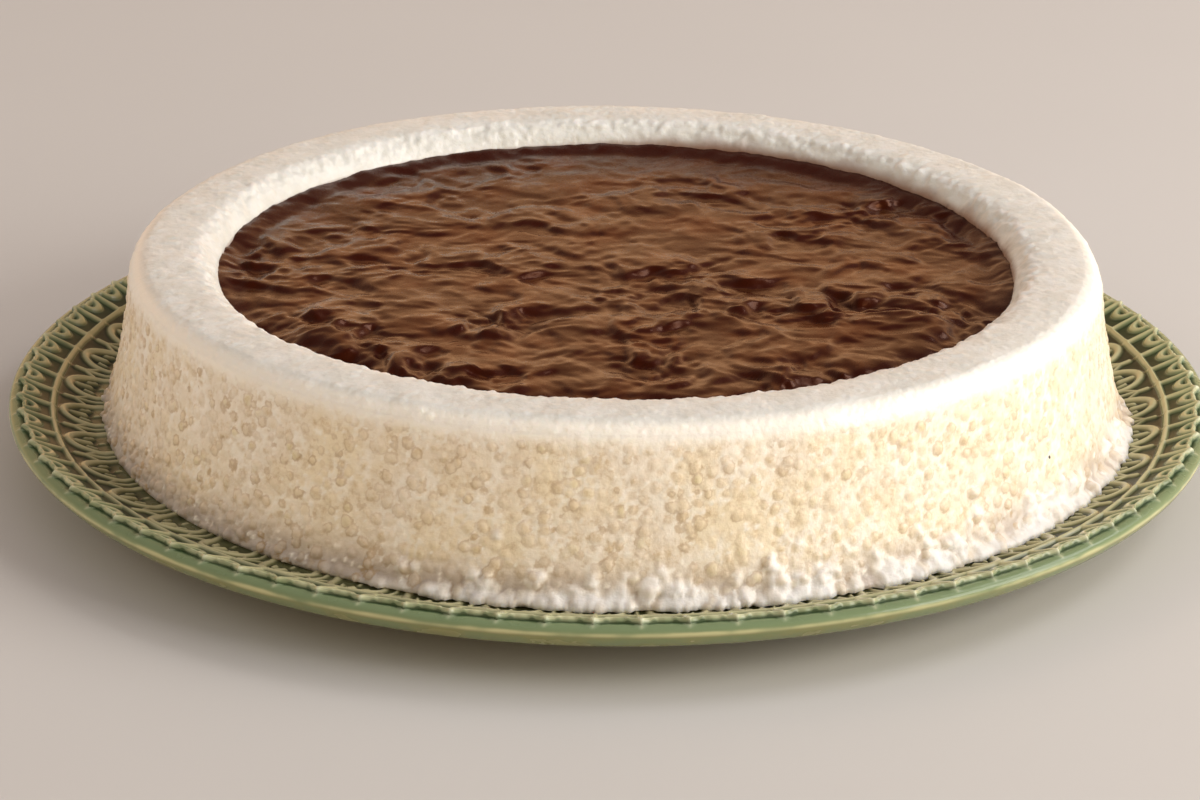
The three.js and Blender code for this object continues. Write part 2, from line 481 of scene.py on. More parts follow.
@dataclass(frozen=True)
class SetTapioca:
    """Milky set tapioca: translucent tan granules in whiter coconut milk."""

    base: Colour = (0.90, 0.80, 0.60)
    base_cool: Colour = (0.87, 0.79, 0.66)
    shade: Colour = (0.68, 0.545, 0.345)
    heart: Colour = (0.68, 0.54, 0.34)
    heart_olive: Colour = (0.64, 0.55, 0.24)
    # partly the granule's own edge, partly painted shade in the groove round it
    ring: Colour = (0.50, 0.35, 0.19)
    milk: Colour = (0.97, 0.92, 0.82)
    # partly painted light: the crest's greyer, cooler colour is partly its own smoother skin, and the wall's
    # warmer base colour stands in for warm light shining through the wall
    crest: Colour = (0.705, 0.705, 0.65)
    crest_pale: Colour = (0.785, 0.79, 0.745)
    # painted light: the shoulder gets a lighter, warmer colour to stand in for the light that falls on it
    shoulder: Colour = (0.97, 0.935, 0.845)
    curd: Colour = (0.86, 0.85, 0.83)
    soaked: Colour = (0.56, 0.485, 0.415)
    stain: Colour = (0.20, 0.065, 0.018)
    speck: Colour = (0.03, 0.02, 0.01)
    gloss: float = 0.38

    def material(self) -> bpy.types.Material:
        """Mixes granule, milk, crest and curd by the mesh's own values, with a fine wet grain.

        A granule's value is 0 in its heart and 1 at its skin, and the skin is drawn as a darker ring, partly
        the granule's own edge and partly painted shade in the groove round it.
        """
        graph = ShaderGraph("set_tapioca")
        fine = graph.noise(0.9, 2.0)
        cloud = graph.noise(26.0, 2.0)
        distance = graph.combine("ADD", graph.value("granule"), graph.reach(fine, 0.3, 0.7, -0.11, 0.11))
        clear = graph.value("clear")
        inside = graph.combine("MULTIPLY", graph.reach(distance, 1.12, 0.45), clear)
        up_to, beyond = graph.reach(distance, 0.62, 0.94), graph.reach(distance, 1.22, 0.98)
        skin = graph.combine("MULTIPLY", graph.combine("MULTIPLY", up_to, beyond), clear)
        skin = graph.combine("MULTIPLY", skin, graph.value("skin"))
        base = graph.blend(graph.reach(cloud, 0.35, 0.65), self.base, self.base_cool)
        base = graph.blend(graph.reach(graph.noise(2.7, 5.0, 0.7), 0.46, 0.74), base, self.shade)
        base = graph.blend(graph.value("vein"), base, self.milk)
        base = graph.blend(graph.value("wet"), base, self.soaked)
        base = graph.blend(graph.value("fleck"), base, self.milk)
        heart = graph.blend(graph.value("tone"), self.heart, self.heart_olive)
        wall = graph.blend(graph.combine("MULTIPLY", inside, 0.4), base, heart)
        # the darker ring: partly the granule's own edge, partly painted shade
        wall = graph.blend(skin, wall, self.ring)
        crest = graph.blend(graph.reach(graph.noise(5.0, 3.0), 0.34, 0.66), self.crest, self.crest_pale)
        # painted light: the lighter shoulder colour stands in for light falling on the shoulder
        crest = graph.blend(graph.value("shoulder"), crest, self.shoulder)
        # crest against wall: partly the crest's own skin, partly painted light
        colour = graph.blend(graph.value("crest"), wall, crest)
        colour = graph.blend(graph.value("curd"), colour, self.curd)
        colour = graph.blend(graph.value("stain"), colour, self.stain)
        speck = graph.reach(graph.spots(24.0), 0.014, 0.022, 1.0, 0.0)
        graph.drive("Base Color", graph.blend(speck, colour, self.speck))
        graph.drive("Roughness", graph.reach(fine, 0.2, 0.8, self.gloss * 0.7, self.gloss * 1.3))
        graph.drive("Normal", graph.bump(graph.noise(1.4, 3.0, 0.6), 0.2))
        graph.fix(
            specular_ior_level=0.45,
            subsurface_weight=0.3,
            subsurface_radius=(1.0, 0.85, 0.68),
            subsurface_scale=1.1 * MILLIMETRE,
        )
        return graph.material


@dataclass(frozen=True)
class GlossySpread:
    """A thick red-brown spread, wet on top, with painted shade in its creases, on its steep sides and by the
    wall.
    """

    face: Colour = (0.062, 0.019, 0.005)
    warm: Colour = (0.092, 0.024, 0.005)
    # painted shade: the dark colour put into creases, on steep sides and by the wall
    crease_shade: Colour = (0.029, 0.003, 0.001)
    film: Colour = (1.0, 0.385, 0.14)
    gloss: float = 0.25

    def material(self) -> bpy.types.Material:
        """Mixes the spread's colours with painted shade: darker where the ripples lie deep or steep, and near
        the wall.
        """
        graph = ShaderGraph("glossy_spread")
        cloud = graph.noise(16.0, 3.0)
        top = graph.blend(graph.reach(cloud, 0.4, 0.7), self.face, self.warm)
        # painted shade: darker in creases, on steep sides and by the wall
        graph.drive("Base Color", graph.blend(graph.value("crease_shade"), top, self.crease_shade))
        smear = graph.noise(3.0)
        graph.drive("Roughness", graph.reach(smear, 0.25, 0.75, self.gloss * 0.75, self.gloss * 1.3))
        graph.drive("Normal", graph.bump(graph.noise(1.6, 2.0), 0.04))
        graph.fix(specular_ior_level=0.34, specular_tint=(*self.film, 1.0))
        return graph.material


@dataclass(frozen=True)
class PaleFloor:
    """A matt pale surface."""

    tone: Colour = (0.66, 0.64, 0.61)

    def material(self) -> bpy.types.Material:
        """One quiet tone with a very faint cloud."""
        graph = ShaderGraph("pale_floor")
        shade = tuple(0.96 * part for part in self.tone)
        graph.drive("Base Color", graph.blend(graph.noise(120.0), self.tone, shade))
        graph.fix(roughness=0.7, specular_ior_level=0.3)
        return graph.material


# ------------------------------------------------------------ the plate


@dataclass(frozen=True)
class Ridge:
    """A raised line of the relief: (side, radius) corners around a motif's middle, in millimetres."""

    motif: Motif
    side: np.ndarray
    radius: np.ndarray
    half_width: float
    height: float

    def section(self, side: np.ndarray, radius: np.ndarray) -> np.ndarray:
        """How high up the ridge each place lies: (1 + cos(pi d / half width)) / 2, at the distance d."""
        line = np.stack([self.side, self.radius], axis=-1)
        distance = distance_to_line(side, radius, line) / self.half_width
        return 0.5 + 0.5 * np.cos(math.pi * np.minimum(distance, 1))


@dataclass
class Plate:
    """The glazed plate: smooth lip, scalloped edge, band of tongues, bead, band of petals, floor.

    The relief repeats with the petals, so it is worked out for one petal and laid round the axis."""

    rim_radius: float = 152.45
    arris_height: float = 14.5
    well_radius: float = 131.0
    well_height: float = 10.5
    slope_end: float = 150.2
    slope_rise: float = 7.4
    edge_radius: float = 150.3
    scallop_depth: float = 1.9
    bead_radius: float = 141.4
    bead_height: float = 0.7
    petal_tip: float = 138.9
    petal_half: float = 6.3
    tongue_half: float = 2.4
    line_half: float = 1.8
    stroke_half: float = 1.1
    line_height: float = 0.45
    stroke_height: float = 0.22
    bed_depth: float = 0.5
    petal_depth: float = 0.45
    tip_droop: float = 0.6
    relief_inner: float = 127.4
    tongues: int = 88
    first_divider: float = math.radians(-1.08)
    fine_columns: int = 26
    coarse_columns: int = 12
    foot_inner: float = 88.0
    foot_outer: float = 96.0
    under_height: float = 5.2

    def slope(self, radius: np.ndarray) -> np.ndarray:
        """The bare top: flat to the well's edge, then rising as the 1.18th power of the way to its end."""
        share = np.clip((radius - self.well_radius) / (self.slope_end - self.well_radius), 0.0, None)
        return self.well_height + self.slope_rise * share**1.18

    def turns(self, columns: int, tongues: int) -> np.ndarray:
        """Angles from the first divider, for so many columns to a tongue."""
        return np.arange(columns * tongues) / columns * FULL_TURN / self.tongues

    def aside(self, motif: Motif, radius: np.ndarray, turn: np.ndarray) -> np.ndarray:
        """How far each place lies to the side of the nearest such motif's middle, in millimetres."""
        first, every = motif.value
        pitch = FULL_TURN / self.tongues
        return (np.mod(turn / pitch - first + every / 2, every) - every / 2) * pitch * radius

    def edge(self, turn: np.ndarray) -> np.ndarray:
        """The edge's radius: drawn in by sin(pi cell)^0.7 between two tips, with a bump half way."""
        cell = np.mod(turn * self.tongues / FULL_TURN, 1.0)
        bump = 0.45 * np.exp(-(((cell - 0.5) / 0.13) ** 2))
        return self.edge_radius - self.scallop_depth * np.sin(math.pi * cell) ** 0.7 + bump

    def loop(self, half: float, middle: float, length: float, reach: float) -> tuple[np.ndarray, np.ndarray]:
        """Half an ellipse round the radius middle, with straight legs as far as the radius reach."""
        turn = np.linspace(-math.pi / 2, math.pi / 2, 15)
        side = np.concatenate([[-half], half * np.sin(turn), [half]])
        radius = np.concatenate([[reach], middle + length * (1 - np.cos(turn)), [reach]])
        return side, radius

    def ridges(self) -> list[Ridge]:
        """The raised lines: dividers, tongues' loops, petals' outlines, and the strokes in and between."""
        bead, edge, tip = self.bead_radius, self.edge_radius, self.petal_tip
        line, stroke, low = self.line_half, self.stroke_half, self.stroke_height
        tongue = self.loop(self.tongue_half, bead + 4.2, 2.4, edge - 0.8)
        petal = self.loop(self.petal_half, tip, -8.0, tip - 13.0)
        centred = np.zeros(2)

        def along(start: float, end: float) -> np.ndarray:
            """Two distances from the petals' tip, as radii."""
            return np.array([tip - start, tip - end])

        ridges = [
            Ridge(Motif.DIVIDER, centred, np.array([bead, edge - 0.6]), line, 0.42),
            Ridge(Motif.TONGUE, *tongue, line - 0.05, 0.38),
            Ridge(Motif.PETAL, *petal, line + 0.05, self.line_height),
            Ridge(Motif.PETAL, centred, along(2.1, 5.4), line - 0.2, 0.34),
            Ridge(Motif.PETAL, centred, along(8.0, 8.8), stroke + 0.1, low),
            Ridge(Motif.DART, centred, along(0.2, 2.6), 1.5, 0.34),
            Ridge(Motif.DART, centred, along(2.6, 11.0), 1.0, 0.34),
        ]
        for sign in (-1, 1):
            ridges += [
                Ridge(Motif.PETAL, sign * np.array([2.7, 3.3]), along(4.4, 6.4), stroke, low),
                Ridge(Motif.DART, sign * np.array([0.5, 2.6]), along(2.8, 5.2), stroke, low),
            ]
        return ridges

    def relief(self, radius: np.ndarray, turn: np.ndarray) -> tuple[np.ndarray, np.ndarray]:
        """The relief of the top: a sunk bed, and on it the highest of all ridges, the bead and the rim.

        Args:
            radius: distances from the Z axis, shape (rows, columns).
            turn: the columns' angles from the first divider, shape (columns,).

        Returns:
            Heights above the bare slope in millimetres, and how thin the glaze lies, from 0 to 1.
        """
        petal = np.clip(1 - (self.aside(Motif.PETAL, radius, turn) / 6.0) ** 2, 0, 1)
        inward = ease(self.petal_tip - 0.5, self.petal_tip - 3.5, radius)
        by_foot = ease(133.5, 130.5, radius)
        bed = -self.bed_depth * (1 - 0.6 * by_foot) - self.petal_depth * petal * inward * (1 - by_foot)
        height = bed.copy()
        thin = 0.3 * by_foot
        at_divider = np.exp(-((self.aside(Motif.DIVIDER, radius, turn) / 0.9) ** 2))
        at_bump = np.exp(-((self.aside(Motif.TONGUE, radius, turn) / 0.8) ** 2))
        on_bead = np.abs(radius - self.bead_radius - 0.25 * at_divider) / 1.3
        on_rim = np.abs(radius - self.edge(turn) + 0.5) / 0.95
        rim_height = 0.28 + 0.3 * at_divider + 0.12 * at_bump
        bars = [
            (0.5 + 0.5 * np.cos(math.pi * np.minimum(on_bead, 1)), self.bead_height),
            (0.5 + 0.5 * np.cos(math.pi * np.minimum(on_rim, 1)), rim_height),
        ]
        for ridge in self.ridges():
            bars.append((ridge.section(self.aside(ridge.motif, radius, turn), radius), ridge.height))
        for section, top in bars:
            height = np.maximum(height, bed + section * (top - bed))
            thin = np.maximum(thin, section * np.clip(0.6 + 0.95 * top, 0, 1.1))
        return height - self.tip_droop * ease(148.2, 150.5, radius), thin

    def ring(self, name: str, radius: np.ndarray, height: np.ndarray, values: Fields) -> SurfaceMesh:
        """Lays a strip that is one petal wide round the whole plate, with uneven glaze and height.

        Args:
            name: the piece's name.
            radius: shape (rows, columns), round the strip's section.
            height: of the same shape.
            values: per-point numbers of the same shape; thin and tip are made patchy.

        Returns:
            The closed band.
        """
        petals = self.tongues // 2
        radius, height = (np.tile(part, (1, petals)) for part in (radius, height))
        angle = self.first_divider + self.turns(self.fine_columns, self.tongues)
        points = turned(radius, height, np.broadcast_to(angle, radius.shape))
        patchy = Lattice(Seed.RELIEF_GLAZE).swell(points, 6.0)
        points[..., 2] += 0.06 * Lattice(Seed.RELIEF_WOBBLE).swell(points, 3.5)
        laid = {key: np.tile(value, (1, petals)) for key, value in values.items()}
        laid["thin"] = np.clip(laid["thin"] * (1 + 0.3 * patchy) + 0.05 * patchy, 0, 1)
        laid["tip"] = laid["tip"] * np.clip(0.6 + 0.9 * patchy, 0.1, 1.2)
        return SurfaceMesh.from_loop(name, points, laid)

    def tongue_ring(self) -> SurfaceMesh:
        """The outer band of relief: from under the bead, up the step at the edge, and in over the bead."""
        turn = self.turns(self.fine_columns, 2)
        flat = np.ones_like(turn)
        edge = self.edge(turn)
        share = np.linspace(0, 1, 23)[:, None]
        bead_rows = self.bead_radius + np.array([0.75, 0.5, 0.25, 0.0, -0.25, -0.5, -0.75, -0.98, -1.0])
        from_edge = (edge - 0.12) * (1 - share) + (self.bead_radius + 1.0) * share
        top = np.vstack([from_edge, bead_rows[:, None] * flat])
        lift, thin = self.relief(top, turn)
        lifted = self.slope(top) + lift
        buried = np.array([self.bead_radius - 1.0, 145.0, 148.6])[:, None] * flat
        out = np.array([0.42, 0.38, 0.27, 0.12])[:, None]
        down = np.array([2.0, 1.35, 0.7, 0.2])[:, None]
        step_thin = np.array([0.1, 0.0, 0.05, 0.6])[:, None] * flat
        step_tip = np.array([0.4, 0.45, 0.6, 0.9])[:, None]
        # the tips' pale colour is partly thin glaze and partly a painted highlight
        at_tip = np.exp(-((self.aside(Motif.DIVIDER, top, turn) / 0.65) ** 2)) * ease(1.4, 0.5, edge - top)
        tip = np.maximum(at_tip, 0.3 * ease(0.9, 0.5, edge - top))
        greener = 0.2 + 0.5 * ease(self.bead_radius, self.edge_radius - 2, top)
        hidden = np.zeros_like(buried)
        radius = np.vstack([buried, edge + out, top])
        height = np.vstack([self.slope(buried) - 1.7, lifted[:1] - down, lifted])
        values = {
            "tip": 0.7 * np.vstack([hidden, tip[:1] * step_tip, tip]),
            "thin": np.vstack([hidden, step_thin, thin]),
            "lip": np.vstack([np.ones((6, len(turn))), 0.7 * flat[None, :], greener]),
            "underside": np.zeros_like(radius),
        }
        return self.ring("plate_tongue_ring", radius, height, values)

    def petal_ring(self) -> SurfaceMesh:
        """The inner band of relief: from inside the bead to where it has run in under the cake."""
        turn = self.turns(self.fine_columns, 2)
        outer = self.bead_radius - 1.0
        rows = np.concatenate([[outer + 0.3, outer + 0.03], np.linspace(outer, self.relief_inner, 36)])
        top = np.broadcast_to(rows[:, None], (len(rows), len(turn)))
        lift, thin = self.relief(top, turn)
        height = self.slope(top) + lift
        height[0] -= 0.6
        under = np.array([self.relief_inner - 0.2, 134.0, outer - 0.2])
        buried = np.broadcast_to(under[:, None], (3, len(turn)))
        radius = np.vstack([buried, top])
        height = np.vstack([self.slope(buried) - np.array([[1.4], [1.7], [1.7]]), height])
        values = {"thin": np.vstack([np.zeros((3, len(turn))), thin])}
        values |= {key: np.zeros_like(radius) for key in ("lip", "underside", "tip")}
        return self.ring("plate_petal_ring", radius, height, values)

    def body_profile(self) -> np.ndarray:
        """The smooth body's section as (radius, height), from amid the underside over the lip and in."""
        under, inner, outer = self.under_height, self.foot_inner, self.foot_outer
        foot = [(20.0, under), (60.0, under), (inner - 1.8, under), (inner - 0.2, 0.7), (inner + 0.5, 0.0),
                (outer - 0.5, 0.0), (outer + 0.2, 0.7), (outer + 1.8, under - 0.5)]
        belly = [(99.0, 4.95), (122.0, 5.3), (134.0, 6.2), (140.5, 7.4), (145.0, 8.8), (148.0, 10.0),
                 (150.4, 11.5), (151.6, 12.8), (152.2, 13.7), (self.rim_radius, self.arris_height)]
        lip = [belly[-1], (152.42, 14.95), (152.25, 15.4), (151.95, 15.78), (151.5, 16.06), (150.9, 16.25),
               (150.2, 16.35), (149.4, 16.3), (148.6, 15.9)]
        floor = [(147.6, 15.4), (141.5, 12.4), (134.0, 9.9), (130.5, 9.3), (127.0, 9.3), (126.2, 10.3),
                 (125.4, 10.5), (80.0, 10.5), (30.0, 10.5)]
        smooth = [smooth_profile(belly, 2.5)[:-1], smooth_profile(lip, 0.42)]
        return np.vstack([np.array(foot), *smooth, np.array(floor)])

    def body(self) -> SurfaceMesh:
        """The plate's body. The glaze lies thick under the scalloped edge, runs down in a pale streak below
        each of its tips, and breaks in patches along the widest line. The streak's pale colour is partly a
        painted highlight."""
        section = self.body_profile()
        turn = self.turns(self.coarse_columns, self.tongues)
        radius = np.broadcast_to(section[:, :1], (len(section), len(turn)))
        height = np.broadcast_to(section[:, 1:], radius.shape)
        underside = ease(self.arris_height + 0.2, self.arris_height - 0.4, height) * (radius > 20)
        underside = np.maximum(underside, (np.arange(len(section)) < 9)[:, None])
        on_lip = (1 - underside) * ease(148.2, 148.8, radius)
        fall = np.maximum(radius - self.edge(turn), 0) + np.maximum(16.35 - height, 0)
        at_tip = np.exp(-((self.aside(Motif.DIVIDER, radius, turn) / 1.0) ** 2))
        streak = on_lip * at_tip * ease(2.4, 0.6, fall)
        points = turned(radius + 0.16 * streak, height + 0.1 * streak, self.first_divider + turn[None, :])
        glaze = Lattice(Seed.LIP_GLAZE)
        patchy = glaze.swell(points, 15.0) + 0.5 * glaze.swell(points, 5.0, 1)
        arris = np.exp(-(((height - self.arris_height - 0.15) / 0.6) ** 2)) * (radius > 150)
        thin = on_lip * (0.34 * ease(0.5, 2.0, fall) + 0.6 * streak) + underside * 0.35
        thin = thin + arris * (0.5 + 0.45 * patchy)
        values = {
            "thin": np.clip(thin, 0, 1),
            "lip": on_lip,
            "underside": underside * (1 - 0.7 * arris),
            # the streak's pale colour is partly a painted highlight
            "tip": 0.25 * streak,
        }
        return SurfaceMesh.from_rings("plate_body", points, values)

    def build(self, glaze: bpy.types.Material) -> None:
        """Makes the body and both bands of relief and puts them in place of the plate's node."""
        for surface in (self.body(), self.tongue_ring(), self.petal_ring()):
            install(surface.link(glaze), Node.PLATE)


# ------------------------------------------------------------ the cake


@dataclass(frozen=True)
class Skin:
    """Places on the cake's bare skin, over its own foot: flat arrays, in millimetres and radians."""

    places: np.ndarray
    reach: np.ndarray
    rise: np.ndarray
    bearing: np.ndarray
    drift: np.ndarray

    @classmethod
    def turned_from(cls, section: np.ndarray, columns: int) -> "Skin":
        """Turns (radius, height) pairs round the axis, row by row, and finds each place's sideways push."""
        bearing = np.arange(columns) / columns * FULL_TURN
        grids = np.broadcast_arrays(section[:, :1], section[:, 1:], bearing)
        reach, rise, bearing = (grid.ravel() for grid in grids)
        places = turned(reach, rise, bearing)
        return cls(places, reach, rise, bearing, Lattice(Seed.WAVES).drift(places, 3.1))


@dataclass
class Cake:
    """The tapioca body: a wall that flares at its foot, a rounded shoulder, a flat crest and the well."""

    offset_x: float = 1.1
    solid_base: float = 10.8
    base_height: float = 10.15
    foot_radius: float = 130.0
    shoulder_radius: float = 122.6
    shoulder_round: float = 6.0
    height: float = 42.0
    highest: float = 42.2
    crest_inner: float = 105.5
    well_radius: float = 100.4
    well_floor_radius: float = 98.4
    well_floor: float = 24.0
    level: float = 36.6
    columns: int = 1240
    row_step: float = 0.66
    seam: float = math.radians(30)
    overlap: int = 8
    granule_pitch: float = 3.0
    boss_pitch: float = 5.0
    crumb_pitch: float = 1.7
    squat: float = 0.7
    curd_bearing: float = math.radians(302)
    stain_bearing: float = math.radians(42)

    def profile(self) -> tuple[np.ndarray, int]:
        """The skin's section: out along the underside, up the wall, over the crest and in along the well.

        Returns:
            (radius, height) pairs over the cake's own foot, and the row where wall and core meet.
        """
        low = self.base_height - self.solid_base
        foot = [(118.0, low), (126.0, low), (129.2, low), (129.85, low + 0.35), (129.98, 0.5)]
        flare = self.foot_radius - self.shoulder_radius
        share = np.linspace(0, 1, 9)
        out = self.shoulder_radius + flare * (0.55 * (1 - share) + 0.45 * (1 - share) ** 3)
        rise = 1.2 + share * (self.height - self.shoulder_round - 1.2)
        side = [(float(r), float(z)) for r, z in zip(out, rise)]
        centre, middle = self.shoulder_radius - self.shoulder_round, self.height - self.shoulder_round
        shoulder = [
            (centre + self.shoulder_round * math.cos(a), middle + self.shoulder_round * math.sin(a))
            for a in (math.radians(12), self.seam, math.radians(50), math.radians(70), math.radians(90))
        ]
        inner = [
            (self.crest_inner + 4.5, self.height + 0.08),
            (self.crest_inner, self.height - 0.4),
            (self.crest_inner - 2.6, self.height - 2),
            (self.well_radius + 0.7, self.level + 1.4),
            (self.well_radius, self.level),
        ]
        well = [
            (self.well_radius - 0.2, self.level - 1),
            (self.well_radius - 0.4, self.level - 2),
            (self.well_floor_radius, self.well_floor),
            (60.0, self.well_floor),
            (20.0, self.well_floor),
        ]
        whole = np.vstack([foot, smooth_profile([*side, *shoulder, *inner], self.row_step), well])
        return whole, int(np.argmin(np.linalg.norm(whole - np.array(shoulder[1]), axis=1)))

    def zones(self, skin: Skin) -> Fields:
        """How far each place belongs to a part of the cake, with a wavy line between the parts.

        Args:
            skin: places on the bare skin.

        Returns:
            Fields from 0 to 1: crest, shoulder, foot, outside, shown (what is seen at all), front_right and
            wet (the foot away from the front right).
        """
        wavy = skin.rise + 0.9 * Lattice(Seed.WAVES).swell(skin.places, 8.0, 18)
        crest = ease(self.height - 7.6, self.height - 2.6, wavy)
        outside = ease(self.crest_inner, self.shoulder_radius, skin.reach)
        foot = ease(12.0, 0.5, wavy) * outside
        on_wall = ease(self.shoulder_radius - 8, self.shoulder_radius - 2, skin.reach)
        off_crest = ease(109.0, 114.0, skin.reach)
        shown = np.maximum(ease(self.level - 4.5, self.level - 3.5, wavy), on_wall)
        front_right = ease(0.6, 0.9, 0.5 + 0.5 * np.cos(skin.bearing - self.curd_bearing))
        return {
            "crest": np.maximum(crest, ease(113.0, 109.0, skin.reach)),
            # where the painted light of the shoulder goes
            "shoulder": ease(self.height + 0.1, self.height - 1.6, skin.rise) * off_crest,
            "foot": foot,
            "outside": outside,
            "shown": shown * ease(-0.3, 0.3, skin.rise),
            "front_right": front_right,
            "wet": foot * (1 - 0.6 * front_right),
        }

    def granules(self, skin: Skin) -> Fields:
        """The swollen granules, with crumbs of coconut and veins of milk between them. The clear ones come
        in clusters. A dome is the square root of 1 - (distance / size)^2, and has a groove round it.

        Args:
            skin: places on the bare skin.

        Returns:
            Fields for the relief (dome, groove, crumb) and for the shader (clear, tone, vein, fleck and
            granule, which is distance / size).
        """
        grain, waves, crumbs = Lattice(Seed.GRANULES), Lattice(Seed.WAVES), Lattice(Seed.CRUMBS)
        near, second, owner = grain.grains(skin.places + 0.4 * skin.drift, self.granule_pitch)
        granule = near / (1.0 + 0.85 * grain.draw(owner, 8))
        cluster = waves.swell(skin.places, 12.0, 9)
        crumb_near, _, crumb_owner = crumbs.grains(skin.places, self.crumb_pitch)
        crumb = np.clip(1 - (crumb_near / 0.95) ** 2, 0, 1) * crumbs.draw(crumb_owner, 7)
        milky = ease(-0.35, 0.35, waves.swell(skin.places * [1.0, 1.0, self.squat], 6.0, 15))
        return {
            "dome": np.sqrt(np.clip(1 - granule**2, 0, 1)),
            "groove": np.exp(-(((granule - 1.0) / 0.25) ** 2)),
            "crumb": crumb,
            "granule": np.clip(granule, 0, 2),
            "clear": np.clip(grain.draw(owner, 7) ** 1.2 * (1 + 0.8 * cluster), 0, 1),
            "tone": ease(0.8, 0.95, grain.draw(owner, 9)),
            "vein": ease(0.9, 0.1, second - near) * milky * 0.8,
            "fleck": ease(0.25, 0.75, crumb) * ease(1.0, 1.2, granule),
        }

    def clumps(self, skin: Skin, zone: Fields) -> Fields:
        """The curd at the foot: it sits where cloudy noise and small bosses pass a bar that rises with the
        height and is lowest at the front right.

        Args:
            skin: places on the bare skin.
            zone: their zones.

        Returns:
            Fields: boss (its lumps), curd, white (its softer edged colour) and pocket (the gaps in it).
        """
        waves, bosses = Lattice(Seed.WAVES), Lattice(Seed.BOSSES)
        near, _, owner = bosses.grains(skin.places + 0.7 * skin.drift, self.boss_pitch)
        size = 2.2 + 1.6 * bosses.draw(owner, 8)
        boss = np.sqrt(np.clip(1 - (near / size) ** 2, 0, 1)) * (0.4 + 0.6 * bosses.draw(owner, 7))
        squat = skin.places * [1.0, 1.0, self.squat]
        cloud = waves.swell(squat, 9.0, 10) + 0.5 * waves.swell(squat, 3.8, 11) + 0.8 * (boss - 0.4)
        right = zone["front_right"]
        over = cloud - (1.5 * np.clip(skin.rise / (4.5 + 9.0 * right), 0, 2) + 0.4 - 1.15 * right)
        return {
            "boss": boss,
            "curd": ease(-0.1, 0.4, over) * zone["outside"],
            "white": ease(-0.4, 0.5, over) * (skin.rise < 25),
            "pocket": ease(0.1, -0.4, over) * zone["foot"] * right,
        }

    def relief(self, skin: Skin, zone: Fields, part: Fields) -> np.ndarray:
        """How far the skin stands out, in millimetres. It is a sum of slow waves, granules, the uneven brink
        of the crest, the wet granules and the curd at the foot, and the foot's own flare.

        Args:
            skin: places on the bare skin.
            zone: their zones.
            part: their granules, clumps and lumps.

        Returns:
            Heights over the bare skin, 0 where it is hidden.
        """
        waves = Lattice(Seed.WAVES)
        slow = 0.3 * waves.swell(skin.places, 34.0, 5) + 0.22 * waves.swell(skin.places, 11.0, 6)
        granules = (0.15 + 0.2 * part["clear"]) * part["dome"] - 0.2 * part["groove"] + 0.16 * part["crumb"]
        granules = granules * (1 - 0.5 * zone["crest"]) * (1 + 1.5 * zone["wet"])
        from_brink = (skin.reach - self.crest_inner + 1.5) / 2.2
        brink = np.exp(-(from_brink**2)) * ease(self.level, self.level + 2.5, skin.rise)
        lumps = part["lumps"]
        lift = slow + granules - 0.1 + (0.9 * brink + 0.08 * zone["crest"]) * lumps
        lift += zone["wet"] * (0.45 * lumps - 0.3) - 0.3 * part["pocket"]
        lift += part["curd"] * (0.5 + 1.1 * part["boss"] + 0.6 * lumps)
        lift += (0.2 + 1.5 * zone["front_right"]) * ease(3.0, 0.3, skin.rise) * zone["outside"]
        return zone["shown"] * lift

    def tints(self, skin: Skin, zone: Fields, part: Fields) -> Fields:
        """The values that colour the skin. The spread has crept up the well's wall, most at one bearing.

        Args:
            skin: places on the bare skin.
            zone: their zones.
            part: their granules, clumps and lumps.

        Returns:
            The shader's fields, by name.
        """
        lumps, right = part["lumps"], zone["front_right"]
        sunk = 1 - 0.6 * part["clear"] * ease(1.05, 0.7, part["granule"])
        edge = np.exp(-(((skin.reach - self.crest_inner + 0.4) / 1.1) ** 2)) * np.clip(0.6 + lumps, 0, 1.3)
        soaked = ease(0.45, 0.85, np.cos(skin.bearing - self.stain_bearing))
        creep = (0.7 + 3.3 * soaked) * (1 + 0.5 * Lattice(Seed.WAVES).swell(skin.places, 7.0, 8))
        stain = (0.6 + 0.4 * soaked) * ease(creep, -0.4, skin.rise - self.level + 0.8)
        # painted highlight: the curd's white is also laid in a jagged band along the crest's inner edge
        curd = part["white"] * sunk * (0.3 + 0.52 * right) + 0.5 * edge * (skin.rise > 25)
        return {
            **{name: part[name] for name in ("granule", "clear", "tone", "vein", "fleck")},
            **{name: zone[name] for name in ("crest", "shoulder")},
            # how strong the darker rings are, partly painted shade: stronger at the foot, weaker at the lit
            # front right
            "skin": 0.62 + 0.3 * zone["foot"] - 0.15 * right,
            "curd": np.clip(curd, 0, 1),
            "wet": np.clip(zone["wet"] * (0.9 + 0.5 * lumps) + 0.9 * part["pocket"], 0, 1),
            "stain": np.clip(stain * (skin.reach < self.crest_inner), 0, 1) * 0.95,
        }

    def dress(self, rows: slice, side: int) -> tuple[np.ndarray, Fields]:
        """Turns part of the section round the axis and gives it its relief. Past the seam the skin sinks
        under the other piece's, by 0.02 times the way and 0.12 times the way squared.

        Args:
            rows: which rows of the section.
            side: 1 if the skin goes under past the seam, -1 if it comes up from under before it.

        Returns:
            Points of shape (rows, columns, 3) in the plate's frame, and the values that colour them.
        """
        whole, seam = self.profile()
        along = np.gradient(whole, axis=0)
        outward = np.stack([along[:, 1], -along[:, 0]], axis=-1)[rows]
        outward /= np.linalg.norm(outward, axis=1, keepdims=True)
        walked = np.concatenate([[0], np.cumsum(np.linalg.norm(np.diff(whole, axis=0), axis=1))])
        past = np.maximum(side * (walked - walked[seam]), 0)[rows, None]
        radius, height = whole[rows, :1], whole[rows, 1:]
        shape = (len(radius), self.columns)

